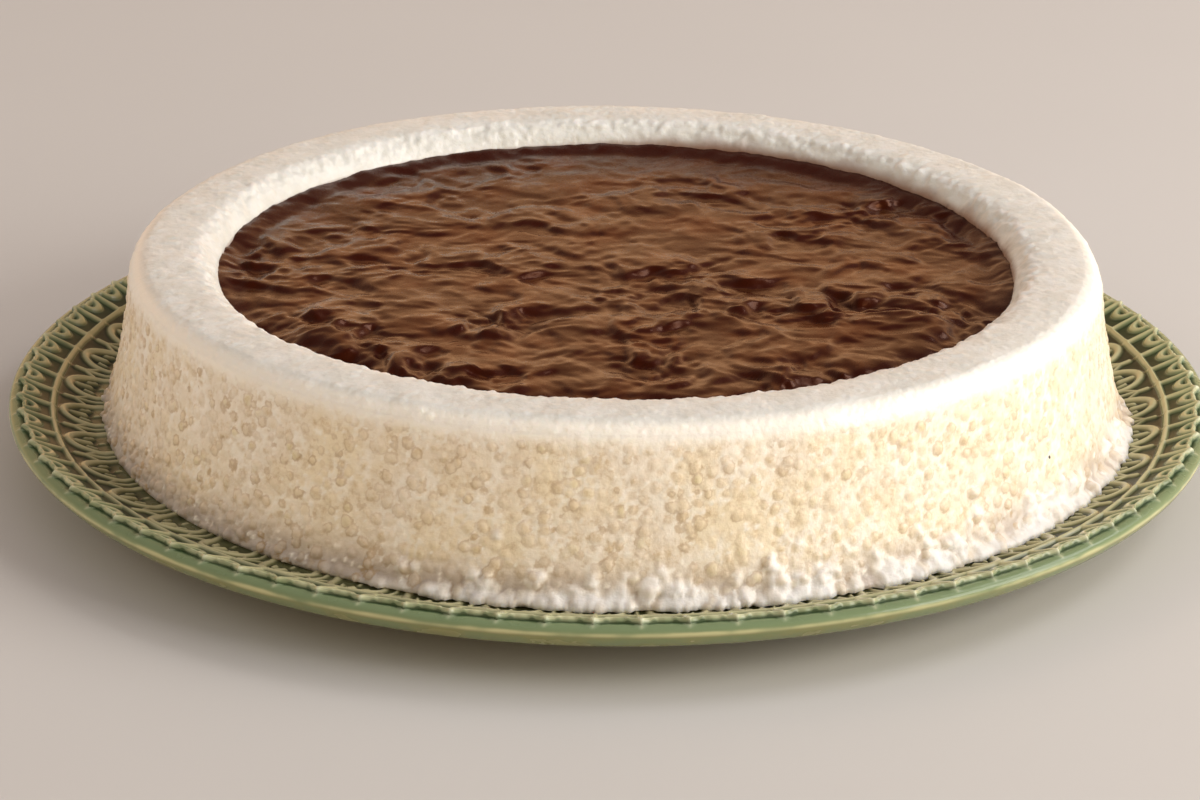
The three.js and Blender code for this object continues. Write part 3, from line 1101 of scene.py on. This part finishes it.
        waves = Lattice(Seed.WAVES)
        skin = Skin.turned_from(whole[rows], self.columns)
        zone = self.zones(skin)
        part = self.granules(skin) | self.clumps(skin, zone)
        part["lumps"] = 0.6 * waves.swell(skin.places, 3.4, 13) + 0.45 * waves.swell(skin.places, 1.9, 14)
        lift = self.relief(skin, zone, part).reshape(shape) - 0.02 * past - 0.12 * past**2
        lifted = np.minimum(height + lift * outward[:, 1:] * (height > 0.4), self.highest)
        out = radius + lift * outward[:, :1]
        points = turned(out, lifted + self.solid_base, skin.bearing.reshape(shape))
        points[..., 0] += self.offset_x
        values = self.tints(skin, zone, part)
        return points, {key: value.reshape(shape) for key, value in values.items()}

    def close(
        self, points: np.ndarray, values: Fields, hidden: list[tuple[float, float]], last: bool
    ) -> tuple[np.ndarray, Fields]:
        """Adds plain hidden rings inside the cake, before the dressed ones or after them.

        Args:
            points: the dressed rings.
            values: their values.
            hidden: (radius, height) pairs over the cake's foot.
            last: whether the hidden rings come last.

        Returns:
            All rings and their values.
        """
        angle = np.arange(self.columns) / self.columns * FULL_TURN
        section = np.array(hidden)
        radius, height = (section[:, k, None] * np.ones_like(angle) for k in (0, 1))
        plain = turned(radius, height, angle) + np.array([self.offset_x, 0, self.solid_base])
        rings = (points, plain) if last else (plain, points)
        empty = np.zeros_like(radius)
        joined = {k: np.vstack((v, empty) if last else (empty, v)) for k, v in values.items()}
        return np.concatenate(rings), joined

    def wall(self) -> SurfaceMesh:
        """The band of wall and foot, closed inside the cake."""
        points, values = self.dress(slice(0, self.profile()[1] + self.overlap + 1), 1)
        hidden = [(116.8, 36.0), (117.5, 2.0)]
        return SurfaceMesh.from_loop("cake_wall", *self.close(points, values, hidden, True))

    def core(self) -> SurfaceMesh:
        """The crest, the well and the plain middle that the wall wraps."""
        points, values = self.dress(slice(self.profile()[1] - self.overlap, None), -1)
        hidden = [(30.0, -0.3), (110.0, -0.3), (118.4, -0.3), (118.8, 20.0), (119.2, 31.5)]
        return SurfaceMesh.from_rings("cake_core", *self.close(points, values, hidden, False))

    def build(self, tapioca: bpy.types.Material) -> None:
        """Makes the wall and the core and puts them in place of the cake's node."""
        for surface in (self.wall(), self.core()):
            install(surface.link(tapioca), Node.CAKE)


# ------------------------------------------------------------ the filling


@dataclass
class Filling:
    """The spread in the cake's well: a disc whose top was left rippled by a spoon."""

    cake: Cake
    cells: int = 304
    tuck: float = 1.0
    sunk: float = 1.9
    lean: float = 1.4
    floor_gap: float = 0.3

    def disc(self) -> np.ndarray:
        """A square grid pressed into a disc: each square ring becomes a circle, so the cells stay even.

        Returns:
            Places in a disc of radius 1, shape (cells + 1, cells + 1, 2).
        """
        line = np.linspace(-1, 1, self.cells + 1)
        x, y = np.meshgrid(line, line, indexing="ij")
        wide = np.abs(x) > np.abs(y)
        ring = np.where(wide, x, y)
        safe = np.where(np.abs(ring) < 1e-12, 1.0, ring)
        turn = np.where(wide, math.pi / 4 * y / safe, math.pi / 2 - math.pi / 4 * x / safe)
        return np.stack([ring * np.cos(turn), ring * np.sin(turn)], axis=-1)

    def banks(self, place: np.ndarray) -> tuple[np.ndarray, np.ndarray]:
        """Heights over the mean level: broad swells, and low banks with short steep sides, which come from
        easing cloudy noise between two bars; then fine wrinkles and a few nubs. It is liveliest at the front
        and on the right.

        Args:
            place: (x, y, 0) in millimetres, shape (n, 3).

        Returns:
            Heights in millimetres, and how deep each point lies in the creases between the banks, from 0 to
            1; the spread is painted darker there as shade.
        """
        field, nubs = Lattice(Seed.RIPPLES), Lattice(Seed.NUBS)
        drift = field.drift(place, 17.0) * [1.0, 1.0, 0.0]
        bent = place + 4.0 * drift
        swell = field.swell(bent, 27.0, 4)
        bank = field.swell(bent, 15.0, 5) + 0.3 * field.swell(bent, 5.5, 8)
        knob = field.swell(bent, 6.8, 6) + 0.25 * field.swell(bent, 3.0, 9)
        wrinkle = field.swell(place + 1.2 * drift, 2.7, 7)
        near, _, owner = nubs.grains(bent, 11.0)
        nub = ease(3.2, 0.4, near) * ease(0.75, 0.97, nubs.draw(owner, 3))
        banks = ease(-0.34, 0.38, bank) + 0.42 * ease(-0.3, 0.38, knob)
        front = ease(50.0, -60.0, place[:, 1] + 0.3 * place[:, 0])
        right = ease(10.0, 70.0, place[:, 0])
        lively = 0.64 + 0.85 * front + 0.45 * right
        lively = lively * (0.5 + 0.85 * ease(-0.3, 0.3, field.swell(place, 34.0, 10)))
        height = 0.45 * swell + 1.05 * (banks - 0.71) + (0.06 + 0.03 * front) * wrinkle + 0.4 * nub
        return height * lively, ease(0.0, 0.9, 0.35 - banks - 0.15 * swell)

    def ripples(self, place: np.ndarray) -> tuple[np.ndarray, np.ndarray]:
        """The banks leaned forward: each place takes its height from lean times that height further back."""
        push = np.zeros_like(place)
        push[:, 1] = self.lean * self.banks(place)[0]
        return self.banks(place + push)

    def top(self, flat: np.ndarray) -> tuple[np.ndarray, np.ndarray]:
        """The rippled top, which curls up at the far wall and slopes down towards the near one.

        Args:
            flat: (x, y, 0) of the disc's points in millimetres, shape (n, 3).

        Returns:
            The points in the plate's frame, and how much painted shade each gets for lying in creases, on a
            steep side or by the wall, from 0 to 1.
        """
        cake = self.cake
        lift, crease_shade = self.ripples(flat)
        distance = cake.well_radius + self.tuck - np.hypot(flat[:, 0], flat[:, 1])
        ahead = ease(0.0, -45.0, flat[:, 1])
        edge = Lattice(Seed.SPREAD_EDGE)
        ragged = edge.swell(flat, 9.0) + 0.5 * edge.swell(flat, 3.6, 1)
        curl = 1.5 * (1 + 0.35 * ragged) * ease(7.5, 1.0, distance) * (1 - ahead)
        curl += (0.8 - 2.4 * ease(17.0, 3.0, distance + 2.5 * ragged)) * ahead
        top = flat + np.array([cake.offset_x, 0, cake.solid_base + cake.level - self.sunk])
        top[:, 2] += lift * (0.3 + 0.7 * ease(0.0, 7.0, distance)) + curl
        grid = top.reshape(self.cells + 1, self.cells + 1, 3)
        tilt = np.cross(np.gradient(grid, axis=0), np.gradient(grid, axis=1)).reshape(-1, 3)
        steep = np.hypot(tilt[:, 0], tilt[:, 1]) / np.maximum(np.abs(tilt[:, 2]), 1e-6)
        # painted shade: steep sides are darkened as though turned away from the light, and deep creases too
        crease_shade = np.maximum(0.55 * crease_shade, ease(0.08, 0.40, steep))
        # painted shade: a dark band within about 10 mm of the wall stands in for the shaded wall mirrored in
        # the spread
        return top, np.maximum(crease_shade, ease(10.0, 5.0, distance + 2.5 * ragged))

    def surface(self) -> SurfaceMesh:
        """The closed disc: its top, a skirt of two rings down inside the well, and a floor."""
        cake = self.cake
        unit = self.disc()
        edge_radius = cake.well_radius + self.tuck
        flat = np.concatenate([unit * edge_radius, np.zeros((*unit.shape[:2], 1))], axis=-1).reshape(-1, 3)
        top, crease_shade = self.top(flat)

        size = self.cells + 1
        index = np.arange(size * size).reshape(size, size)
        quads = np.stack([index[:-1, :-1], index[1:, :-1], index[1:, 1:], index[:-1, 1:]], axis=-1)
        loop = np.concatenate([index[:-1, 0], index[-1, :-1], index[:0:-1, -1], index[0, :0:-1]])
        count = len(loop)
        rim = flat[loop] / edge_radius
        floor = cake.solid_base + cake.well_floor + self.floor_gap
        hem = cake.solid_base + cake.level - 5.0
        skirt = [
            rim * [radius, radius, 0.0] + [cake.offset_x, 0.0, height]
            for radius, height in ((cake.well_radius - 1.2, hem), (cake.well_floor_radius - 0.3, floor))
        ]
        rings = np.stack([loop, len(top) + np.arange(count), len(top) + count + np.arange(count)])
        ahead = np.roll(rings, -1, axis=1)
        sides = np.stack([rings[:-1], rings[1:], ahead[1:], ahead[:-1]], axis=-1).reshape(-1, 4)
        base = np.stack([np.full(count, len(top) + 2 * count), ahead[-1], rings[-1]], axis=-1)
        points = np.vstack([top, *skirt, [[cake.offset_x, 0.0, floor]]])
        values = {"crease_shade": np.concatenate([crease_shade, np.ones(len(points) - len(top))])}
        return SurfaceMesh("filling_spread", points, [quads.reshape(-1, 4), sides, base], values)

    def build(self, spread: bpy.types.Material) -> None:
        """Makes the spread and puts it in place of the filling's node."""
        install(self.surface().link(spread), Node.FILLING)


# ------------------------------------------------------------ the studio


@dataclass(frozen=True)
class Softbox:
    """A rectangular light: its place and two sides in metres, its watts and colour, and whether glossy
    surfaces mirror it."""

    name: str
    place: Place
    size: tuple[float, float]
    watts: float
    tint: Colour
    mirrored: bool = True

    def hang(self) -> None:
        """Links the light to the scene, turned towards the cake."""
        light = bpy.data.lights.new(self.name, "AREA")
        light.shape = "RECTANGLE"
        light.size, light.size_y = self.size
        light.energy = self.watts
        light.color = self.tint
        lamp = bpy.data.objects.new(self.name, light)
        lamp.location = self.place
        lamp.visible_glossy = self.mirrored
        towards = Vector((0, 0, 0.03)) - Vector(self.place)
        lamp.rotation_euler = towards.to_track_quat("-Z", "Y").to_euler()
        bpy.context.scene.collection.objects.link(lamp)


@dataclass
class Studio:
    """The floor, the lights and the camera."""

    lens: float = 120.0
    sensor: float = 36.0
    distance: float = 1.0262
    elevation: float = 21.53
    roll: float = 0.7
    aim: Place = (-0.00244, 0.0, 0.0105)
    cake_axis: float = 0.0011
    floor_size: float = 6.0

    def floor(self) -> None:
        """A wide flat square under the plate's foot."""
        half = self.floor_size / 2
        mesh = bpy.data.meshes.new("floor")
        corners = [(-half, -half, 0), (half, -half, 0), (half, half, 0), (-half, half, 0)]
        mesh.from_pydata(corners, [], [(0, 1, 2, 3)])
        mesh.materials.append(PaleFloor().material())
        floor = bpy.data.objects.new("floor", mesh)
        bpy.context.scene.collection.objects.link(floor)
        floor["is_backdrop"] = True

    def room(self) -> bpy.types.World:
        """A room that is warm and bright near the table's height, dim overhead, browner on the far side."""
        world = bpy.data.worlds.new("pale_room")
        world.use_nodes = True
        tree = world.node_tree
        direction = tree.nodes.new("ShaderNodeTexCoord").outputs["Generated"]
        split = tree.nodes.new("ShaderNodeSeparateXYZ")
        ramp = tree.nodes.new("ShaderNodeValToRGB")
        tree.links.new(direction, split.inputs["Vector"])
        tree.links.new(split.outputs["Z"], ramp.inputs["Fac"])
        first, last = ramp.color_ramp.elements
        first.position, first.color = 0.08, (1.0, 0.76, 0.52, 1.0)
        last.position, last.color = 0.9, (0.22, 0.22, 0.24, 1.0)
        between = ((0.22, (0.88, 0.64, 0.42)), (0.37, (0.50, 0.37, 0.26)), (0.6, (0.26, 0.24, 0.23)))
        for rise, tone in between:
            stop = ramp.color_ramp.elements.new(rise)
            stop.color = (*tone, 1.0)
        far = tree.nodes.new("ShaderNodeMapRange")
        far.inputs["From Min"].default_value, far.inputs["From Max"].default_value = 0.2, 0.8
        tree.links.new(split.outputs["Y"], far.inputs["Value"])
        browner = tree.nodes.new("ShaderNodeMix")
        browner.data_type, browner.blend_type = "RGBA", "MULTIPLY"
        sides = [socket for socket in browner.inputs if socket.type == "RGBA"]
        sides[1].default_value = (1.1, 0.83, 0.62, 1.0)
        tree.links.new(far.outputs["Result"], browner.inputs["Factor"])
        tree.links.new(ramp.outputs["Color"], sides[0])
        background = tree.nodes["Background"]
        mixed = next(socket for socket in browner.outputs if socket.type == "RGBA")
        tree.links.new(mixed, background.inputs["Color"])
        background.inputs["Strength"].default_value = 1.3
        return world

    def lights(self) -> None:
        """A window to the right, a smaller one above it, faint walls to the left and behind, the room."""
        boxes = (
            Softbox("window", (1.25, -0.46, 0.57), (1.0, 0.8), 17.4, (1.0, 0.975, 0.945)),
            Softbox("high_window", (0.95, 0.35, 0.95), (0.6, 0.6), 5.0, (0.98, 0.98, 1.0)),
            Softbox("left_wall", (-1.3, -0.2, 0.7), (1.2, 0.9), 2.9, (0.92, 0.95, 1.0), mirrored=False),
            Softbox("back_wall", (-0.3, 1.3, 0.5), (1.4, 0.8), 1.5, (0.95, 0.96, 1.0), mirrored=False),
        )
        for box in boxes:
            box.hang()
        bpy.context.scene.world = self.room()
        bpy.context.scene.view_settings.view_transform = "Standard"

    def camera(self) -> None:
        """A long lens, a little above the plate, tilted about its own axis by the roll."""
        data = bpy.data.cameras.new("camera")
        data.lens = self.lens
        data.sensor_width = self.sensor
        data.clip_start, data.clip_end = 0.05, 20.0
        camera = bpy.data.objects.new("camera", data)
        up, back = math.sin(math.radians(self.elevation)), math.cos(math.radians(self.elevation))
        camera.location = (self.cake_axis, -self.distance * back, self.aim[2] + self.distance * up)
        towards = Vector(self.aim) - camera.location
        camera.rotation_mode = "QUATERNION"
        roll = Matrix.Rotation(math.radians(self.roll), 4, "Z")
        turn = towards.to_track_quat("-Z", "Y").to_matrix().to_4x4() @ roll
        camera.rotation_quaternion = turn.to_quaternion()
        bpy.context.scene.collection.objects.link(camera)
        bpy.context.scene.camera = camera

    def build(self) -> None:
        """Sets up everything that isn't part of the cake."""
        self.floor()
        self.lights()
        self.camera()


def write_sizes() -> None:
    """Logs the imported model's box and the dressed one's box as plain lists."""
    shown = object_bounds()
    boxes = {"cad": [list(corner) for corner in CAD_BOX], "visual": [list(corner) for corner in shown]}
    LOG.info("size of the packed model %s, of the dressed one %s", *boxes.values())


def main() -> None:
    """Builds the studio and the three pieces of the dish."""
    logging.basicConfig(level=logging.INFO, format="%(name)s %(message)s")
    Studio().build()
    cake = Cake()
    Plate().build(GreenGlaze().material())
    cake.build(SetTapioca().material())
    Filling(cake).build(GlossySpread().material())
    write_sizes()


if __name__ == "__main__":
    main()
